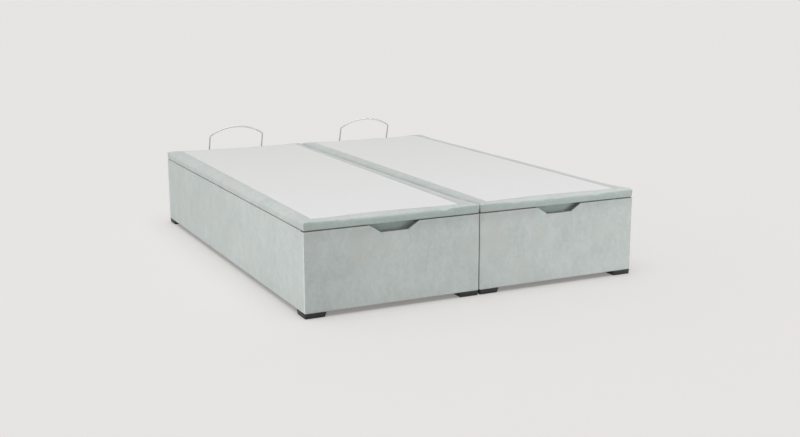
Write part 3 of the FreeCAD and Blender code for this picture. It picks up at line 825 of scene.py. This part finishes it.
def lid_screws(unit, side, steel):
    saddles = [screw((hand * HOOP_HALF + ear * SADDLE_SCREW_X, SADDLE_FACE_Y, SADDLE_Z), (0, 1, 0),
                     SADDLE_SCREW) for hand in HANDS for ear in HANDS]
    points, faces = merged(bracket_screws(LID_BRACKET) + hinge_screws(LID_LEAF_FACE, -1) + saddles)
    piece(unit + "_lid_screws", in_row(points, side), faces, steel, unit + "_lid", "zinc_steel")


STAPLE_HALF = 0.0055
STAPLE_FLAT = 0.005225
STAPLE_WIRE = 0.0004
STAPLE_BEND = 0.0007
STAPLE_INSET = 0.019


def lid_staples(unit, side, steel):
    """Staples that hold the velvet's hem to the underside of the lid."""
    parts = []

    def staple(x, y, along_x, along_y):
        z = LID_BOTTOM - STAPLE_WIRE * 0.6
        wire = ((-STAPLE_HALF, STAPLE_BEND), (-STAPLE_FLAT, 0), (STAPLE_FLAT, 0), (STAPLE_HALF, STAPLE_BEND))
        path = [(x + along_x * run, y + along_y * run, z + lift) for run, lift in wire]
        parts.append(tube(path, STAPLE_WIRE, 6))
    for x in (STAPLE_INSET - HALF_WIDTH, HALF_WIDTH - STAPLE_INSET):
        for y in np.linspace(0.05, LENGTH - 0.05, 37):
            staple(x, y, 0.35, 0.94)
    for y in (STAPLE_INSET, LENGTH - STAPLE_INSET):
        for x in np.linspace(0.04 - HALF_WIDTH, HALF_WIDTH - 0.04, 15):
            if y < LENGTH / 2 or abs(abs(x) - HINGE_X) > 0.05:
                staple(x, y, 0.94, 0.35)
    points, faces = merged(parts)
    piece(unit + "_lid_staples", in_row(points, side), faces, steel, unit + "_lid", "zinc_steel")


# Feet ---------------------------------------------------------------

FOOT_WIDTH = 0.095
FOOT_TAPER = 0.004
FOOT_RIM_LOW = 0.014
FOOT_RIM_STEP = 0.0015
FOOT_CORNER = 0.006
FOOT_LEAST_CORNER = 0.003
FOOT_CORNER_STEPS = 6

# Height, share of the taper and inset of each level
FOOT_LEVELS = ((0.0, 1.0, 0.0020), (0.0010, 0.93, 0.0006), (0.0022, 0.85, 0.0), (0.0125, 0.06, 0.0),
               (FOOT_RIM_LOW - 0.0007, 0.0, 0.0), (FOOT_RIM_LOW - 0.0002, 0.0, -0.0003),
               (FOOT_RIM_LOW + 0.0002, 0.0, -0.0012), (FOOT_RIM_LOW + 0.0009, 0.0, -FOOT_RIM_STEP),
               (0.0205, 0.0, -FOOT_RIM_STEP), (0.0216, 0.0, -0.0011), (BASE_BOTTOM, 0.0, -0.0004))


def foot(x, y, toward_x, toward_y):
    """One moulded block: upright outer sides, tapered inner sides and a rim round the top."""
    half = FOOT_WIDTH / 2
    points = []
    for z, taper, inset in FOOT_LEVELS:
        own = inset + FOOT_RIM_STEP
        low_x, high_x = x - half + own, x + half - own
        low_y, high_y = y - half + own, y + half - own
        cut = FOOT_TAPER * taper
        low_x, high_x = (low_x + cut, high_x) if toward_x < 0 else (low_x, high_x - cut)
        low_y, high_y = (low_y + cut, high_y) if toward_y < 0 else (low_y, high_y - cut)
        radius = max(FOOT_CORNER - own * 0.3, FOOT_LEAST_CORNER)
        corners = ((high_x - radius, high_y - radius), (low_x + radius, high_y - radius),
                   (low_x + radius, low_y + radius), (high_x - radius, low_y + radius))
        for quarter, (centre_x, centre_y) in enumerate(corners):
            for step in range(FOOT_CORNER_STEPS + 1):
                angle = math.pi / 2 * (quarter + step / FOOT_CORNER_STEPS)
                points.append((centre_x + radius * math.cos(angle), centre_y + radius * math.sin(angle), z))
    return points, capped(len(FOOT_LEVELS), 4 * (FOOT_CORNER_STEPS + 1))


def feet(plastic):
    made = []
    for side in UNITS.values():
        for hand in HANDS:
            for end in HANDS:
                x = hand * (HALF_WIDTH - FOOT_WIDTH / 2) + side * UNIT_PITCH / 2
                y = FRONT_Y + LENGTH / 2 + end * (LENGTH - FOOT_WIDTH) / 2
                made.append(foot(x, y, -hand, -end))
    piece("moulded_feet", *merged(made), plastic, "base", "foot_plastic", ["feet"])


# Finishes -----------------------------------------------------------

VELVET_TONES = ((178, 186, 183), (196, 204, 202))
VELVET_GREY = (190, 193, 191)
VELVET_SHEEN = 0.35
# Heights over which a painted shadow of the lid darkens the ends towards the box's brim
PAINTED_BRIM_SHADOW = (0.290, 0.356)
# Places across the row over which painted shade darkens the ends towards the left end
PAINTED_LEFT_SHADE_FADE = (-0.83, -0.45)
# Distances along the bed past which the flat rim at the ends gets painted shade
PAINTED_RIM_SHADE_ENDS = (1.018, 1.030)
# Facing along the bed over which a painted highlight lightens the velvet where it bends over an edge
PAINTED_BEND_HIGHLIGHT = (0.08, 0.30)
# Facing along the bed over which the painted shade of the ends takes over
PAINTED_END_SHADE_TURN = (0.58, 0.95)


def velvet_finish(name, tint, painted_bend_highlight, painted_shade_of_ends, painted_left_shade, painted_brim_shadow=1.0, painted_rim_shade=1.0):
    """Short-pile velvet whose nap catches the light in flecks, soft streaks and patches.

    Painted shade darkens the pieces across the foot and head ends, more so towards the box's brim,
    where it is a painted shadow of the lid, and towards the left end of the row. A painted highlight
    lightens the velvet where it bends over an edge, and painted shade darkens the flat rim at the ends, under
    a lid."""
    finish = Finish(name)
    flecks, streaks, patches = [finish.cloud(*look).between(0.32, 0.68) for look in (
        (100, 4.0, (1, 1, 0.75)), (26, 3.0, (1, 1, 0.65), 0.8), (5.5, 3.0))]
    nap = flecks * 0.36 + streaks * 0.34 + patches * 0.30
    dulled = finish.cloud(9, 2.0).between(0.42, 0.72) * 0.6
    across, length, height = [finish.along(axis) for axis in ((1, 0, 0), (0, 1, 0), (0, 0, 1))]
    toward_end = finish.facing((0, 1, 0))

    def toned(tint, shade=1.0):
        dark, light, grey = [srgb(*[value * own * shade for value, own in zip(tone, tint)])
                             for tone in (*VELVET_TONES, VELVET_GREY)]
        return finish.blend(dulled, finish.blend(nap, dark, light), grey)
    # Painted shade on the ends, deeper towards the left end of the row
    end = finish.blend(across.between(*PAINTED_LEFT_SHADE_FADE), toned(painted_shade_of_ends, painted_left_shade), toned(painted_shade_of_ends))
    # Painted shadow of the lid on the ends, towards the box's brim
    end = finish.blend(height.between(*PAINTED_BRIM_SHADOW), end, toned(painted_shade_of_ends, painted_brim_shadow))
    # Painted highlight where the velvet bends over an edge
    bend = finish.blend(toward_end.between(*PAINTED_BEND_HIGHLIGHT), toned(tint), toned(tint, painted_bend_highlight))
    # The ends take their painted shade where they face along the bed
    upright = finish.blend(toward_end.between(*PAINTED_END_SHADE_TURN), bend, end)
    # Painted shade on the flat rim at the ends, under a lid, that darkens the gap between lid and box
    rim = finish.facing((0, 0, 1)).between(0.3, 0.9) * length.math("ABSOLUTE").between(*PAINTED_RIM_SHADE_ENDS)
    colour = upright if painted_rim_shade == 1.0 else finish.blend(rim, upright, toned(tint, painted_rim_shade))
    pile = finish.cloud(900, 3.0) * 0.6 + finish.cloud(260, 2.0) * 0.4
    return finish.surface(Base_Color=colour, Roughness=0.85, Sheen_Weight=VELVET_SHEEN, Sheen_Roughness=0.30,
                          Normal=finish.bump(pile, 0.25, 0.0006))


def cloth_finish():
    """Plain white platform cloth with a fine weave, and painted shade that greys it a little towards the head
    end.
    """
    finish = Finish("platform_cloth")
    near = finish.blend(finish.cloud(30, 4.0), srgb(220, 220, 220), srgb(224, 224, 224))
    # Painted shade: greyer towards the head end
    colour = finish.blend(finish.along((0, 1, 0)).between(-1.4, 1.2), near, srgb(214, 214, 213))
    warp, weft = [finish.node("TexWave", {"bands_direction": direction},
                              {"Vector": finish.place(), "Scale": 330, "Distortion": 1.5})
                  for direction in "XY"]
    weave = warp * 0.35 + weft * 0.35 + finish.cloud(1500, 2.0) * 0.3
    return finish.surface(Base_Color=colour, Roughness=0.9, Sheen_Weight=0.05,
                          Normal=finish.bump(weave, 0.2, 0.0003))


def steel_finish(name, colour, roughness, spangle=0.0):
    finish = Finish(name)
    wear = finish.cloud(60, 4.0)
    grains = finish.node("TexVoronoi", {}, {"Vector": finish.place(), "Scale": 160}, "Distance")
    mixed = wear * (0.3 + 0.2 * spangle) + grains * spangle
    tone = finish.blend(mixed, srgb(*colour), srgb(*[value * 0.86 for value in colour]))
    return finish.surface(Base_Color=tone, Roughness=wear * 0.12 + (roughness - 0.06), Metallic=1.0,
                          Normal=finish.bump(finish.cloud(700, 2.0), 0.08, 0.0002))


def paint_finish():
    finish = Finish("black_tube_paint")
    tone = finish.blend(finish.cloud(50, 3.0), srgb(34, 34, 36), srgb(44, 44, 46))
    return finish.surface(Base_Color=tone, Roughness=finish.cloud(90, 3.0) * 0.1 + 0.26, Coat_Weight=0.4,
                          Normal=finish.bump(finish.cloud(500, 2.0), 0.1, 0.0003))


def plastic_finish():
    finish = Finish("black_moulded_plastic")
    tone = finish.blend(finish.cloud(40, 3.0), srgb(19, 20, 20), srgb(28, 29, 29))
    return finish.surface(Base_Color=tone, Roughness=finish.cloud(80, 2.0) * 0.15 + 0.42,
                          Normal=finish.bump(finish.cloud(1200, 2.0), 0.25, 0.0004))


def foam_finish():
    finish = Finish("cream_foam")
    cells = finish.node("TexVoronoi", {}, {"Vector": finish.place(), "Scale": 700}, "Distance")
    tone = finish.blend(finish.cloud(20, 3.0), srgb(226, 214, 178), srgb(236, 226, 196))
    return finish.surface(Base_Color=tone, Roughness=0.95, Normal=finish.bump(cells, 0.4, 0.0006))


def chip_finish():
    """Raw particle board: pressed chips of light and dark wood."""
    finish = Finish("particle_board")
    chips = finish.node("TexVoronoi", {}, {"Vector": finish.place(), "Scale": 240}, "Color")
    chip = finish.node("SeparateColor", {}, {"Color": chips})
    fines = finish.cloud(420, 3.0).between(0.35, 0.65)
    base = finish.blend(chip, srgb(200, 176, 142), srgb(224, 204, 172))
    colour = finish.blend(fines * 0.35, base, srgb(158, 130, 96))
    return finish.surface(Base_Color=colour, Roughness=finish.cloud(120, 2.0) * 0.2 + 0.62,
                          Normal=finish.bump(chip * 0.5 + fines * 0.5, 0.3, 0.0005))


def timber_finish(name, stretch):
    """Planed softwood; the stretch shortens the axis that the grain runs along."""
    finish = Finish(name)
    place = finish.place(stretch)
    rings = finish.node("TexWave", {"wave_type": "RINGS", "rings_direction": "SPHERICAL"},
                        {"Vector": place, "Scale": 22, "Distortion": 4.0, "Detail": 3.0, "Detail Scale": 1.2})
    fibres = finish.node("TexNoise", {}, {"Vector": place, "Scale": 260, "Detail": 4.0})
    colour = finish.blend(rings * 0.55 + fibres * 0.35, srgb(228, 202, 160), srgb(202, 164, 116))
    return finish.surface(Base_Color=colour, Roughness=fibres * 0.2 + 0.5,
                          Normal=finish.bump(fibres * 0.6 + rings * 0.4, 0.25, 0.0004))


def hardboard_finish():
    finish = Finish("brown_hardboard")
    fibres = finish.cloud(300, 4.0)
    colour = finish.blend(finish.cloud(9, 4.0) * 0.5 + fibres * 0.5, srgb(142, 112, 82), srgb(170, 138, 104))
    return finish.surface(Base_Color=colour, Roughness=fibres * 0.2 + 0.4,
                          Normal=finish.bump(fibres, 0.2, 0.0003))


def felt_finish():
    finish = Finish("grey_felt")
    fibres = finish.cloud(900, 4.0, distortion=1.0)
    colour = finish.blend(fibres, srgb(104, 104, 106), srgb(138, 138, 140))
    return finish.surface(Base_Color=colour, Roughness=0.95, Sheen_Weight=0.2,
                          Normal=finish.bump(fibres, 0.5, 0.0008))


# Base velvet: painted highlight where it bends, painted shade on the ends, towards the left end, towards the
# brim and on the rim
velvet = velvet_finish("base_velvet_painted_light", (1, 1, 1), 1.14, (0.985, 0.985, 0.985), 0.95, 0.945, 0.58)
# Lid velvet: painted highlight where it bends and painted shade on the faces across the ends
lid_velvet_painted_light = velvet_finish("lid_velvet_painted_light", (0.99, 0.98, 0.98), 1.045, (0.875, 0.905, 0.895), 1.0)
# Grip velvet: painted shade on the facing in its recess behind the cut-out
grip_velvet_painted_shade = velvet_finish("grip_velvet_painted_shade", (1, 1, 1), 1.0, (0.805, 0.842, 0.84), 1.0)
cloth = cloth_finish()
foam = foam_finish()
hoop_steel = steel_finish("satin_hoop_steel", (210, 209, 208), 0.38)
zinc = steel_finish("zinc_plated_steel", (184, 186, 188), 0.34, spangle=0.5)
foot_plastic = plastic_finish()

for unit, side in UNITS.items():
    base_cover(unit, side, velvet)
    lid_cover(unit, side, lid_velvet_painted_light)
    platform_cloth(unit, side, cloth)
    lid_foam(unit, side, foam)
    grip_facing(unit, grip_velvet_painted_shade)
    mattress_hoop(unit, side, hoop_steel)
    lid_screws(unit, side, zinc)
    lid_staples(unit, side, zinc)
base_screws(zinc)
feet(foot_plastic)


# Pieces that keep their CAD shape -----------------------------------

def dress(nodes, finish, edge):
    """Gives CAD nodes their finish and softens their edges."""
    for node in nodes:
        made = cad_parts[node]
        made.data.materials.clear()
        made.data.materials.append(finish)
        modify(made, "BEVEL", width=edge, segments=2, limit_method="ANGLE", angle_limit=math.radians(40),
               use_clamp_overlap=True)


def of_both(*names):
    return [unit + "_" + name for unit in UNITS for name in names]


along_grain = timber_finish("timber_along", (1, 0.06, 1))
across_grain = timber_finish("timber_across", (0.06, 1, 1))
upright_grain = timber_finish("timber_upright", (1, 1, 0.06))
dress(of_both("foot_end_panel", "head_end_panel", "outer_side_panel", "inner_side_panel", "lid_board"),
      chip_finish(), 0.0006)
dress(of_both("lid_side_rails"), along_grain, 0.0012)
dress(of_both("floor_bearers", "lid_end_rails", "lid_cross_rails"), across_grain, 0.0012)
dress(["corner_posts"], upright_grain, 0.0015)
dress(of_both("floor_board"), hardboard_finish(), 0.0004)
dress(["base_hinge_leaves", "base_strut_brackets", "link_plates"]
      + of_both("lid_hinge_leaves", "lid_strut_brackets", "hoop_saddles"), zinc, 0.0003)
dress(of_both("outer_gas_cylinder", "inner_gas_cylinder"), paint_finish(), 0.0004)
dress(of_both("outer_gas_rod", "inner_gas_rod"), steel_finish("bright_rod", (216, 217, 219), 0.12), 0.0003)
dress(["lid_buffers"], felt_finish(), 0.0004)


# Camera, floor and light --------------------------------------------

BACKDROP = FLOOR = srgb(231, 229, 227)
FLOOR_GLOW = 0.28
FLOOR_REACH = 200
SKY_LEVEL = 0.60
SKY_TILT = (-0.20, 0.20, 0.0)
OVERHEAD_SHARE = 0.40
OVERHEAD_SPREAD = math.radians(60)
OVERHEAD_AIM = (0.05, 0.15, -1)

# Place, target and power of the two low panels of light
PANEL_SIZE = 1.0
PANELS = {"right_fill": ((2.8, -3.2, 0.5), (0.3, -1.05, 0.25), 42),
          "left_fill": ((-3.4, -1.25, 0.6), (-0.8, -0.6, 0.25), 16)}

# The camera that took the photo, from the fit to the bed's corners
CAMERA_PLACE = (-2.29559, -4.96433, 1.29723)
CAMERA_ANGLES = (26.118, -11.979, -0.178)
CAMERA_LENS = 48.98
CAMERA_SENSOR = 36


def photo_camera():
    yaw, pitch, tilt = [math.radians(angle) for angle in CAMERA_ANGLES]
    forward = Vector((math.sin(yaw) * math.cos(pitch), math.cos(yaw) * math.cos(pitch), math.sin(pitch)))
    level = Vector((math.cos(yaw), -math.sin(yaw), 0))
    upright = level.cross(forward)
    right = math.cos(tilt) * level + math.sin(tilt) * upright
    up = right.cross(forward)
    lens = bpy.data.cameras.new("photo_camera")
    lens.lens, lens.sensor_width, lens.sensor_fit = CAMERA_LENS, CAMERA_SENSOR, "HORIZONTAL"
    camera = put_in_scene("photo_camera", lens)
    turn = Matrix((right, up, -forward)).transposed().to_4x4()
    camera.matrix_world = Matrix.Translation(CAMERA_PLACE) @ turn
    bpy.context.scene.camera = camera


def pale_floor():
    finish = Finish("pale_floor")
    lit = finish.node("BsdfDiffuse", {}, {"Color": FLOOR})
    plain = finish.node("Emission", {}, {"Color": BACKDROP, "Strength": 1.0})
    shown = finish.node("MixShader", {}, {0: finish.seen() * FLOOR_GLOW, 1: lit, 2: plain})
    finish.node("OutputMaterial", {}, {"Surface": shown}, output=None)
    corners = [(x * FLOOR_REACH, y * FLOOR_REACH, 0) for x, y in ((-1, -1), (1, -1), (1, 1), (-1, 1))]
    mesh = mesh_of("floor", corners, [(0, 1, 2, 3)])
    mesh.materials.append(finish.made)
    floor = put_in_scene("floor", mesh)
    return floor


def aim(light, direction):
    light.rotation_euler = Vector(direction).to_track_quat("-Z", "Y").to_euler()


def studio_light(floor):
    """An even white room, a broad soft lamp overhead, and two weak ones low down that spare the floor."""
    room = Finish("studio", bpy.data.worlds)
    bpy.context.scene.world = room.made
    direction = room.node("TexCoord", {}, {}, "Generated")
    strength = room.dot(direction, SKY_TILT) + SKY_LEVEL
    soft = room.node("Background", {}, {"Color": (1, 1, 1, 1), "Strength": strength})
    plain = room.node("Background", {}, {"Color": BACKDROP, "Strength": 1.0})
    shown = room.node("MixShader", {}, {0: room.seen(), 1: soft, 2: plain})
    room.node("OutputWorld", {}, {"Surface": shown}, output=None)
    lamp = bpy.data.lights.new("overhead", "SUN")
    lamp.energy = math.pi * OVERHEAD_SHARE
    lamp.angle = OVERHEAD_SPREAD
    aim(put_in_scene("overhead", lamp), OVERHEAD_AIM)
    bed_only = bpy.data.collections.new("lit_by_fills")
    bed_only.objects.link(floor)
    bed_only.collection_objects[0].light_linking.link_state = "EXCLUDE"
    for name, (place, target, power) in PANELS.items():
        panel = bpy.data.lights.new(name, "AREA")
        panel.energy, panel.size = power, PANEL_SIZE
        fill = put_in_scene(name, panel)
        fill.light_linking.receiver_collection = bed_only
        fill.location = place
        aim(fill, Vector(target) - Vector(place))


photo_camera()
studio_light(pale_floor())
bpy.context.scene.view_settings.view_transform = "Standard"
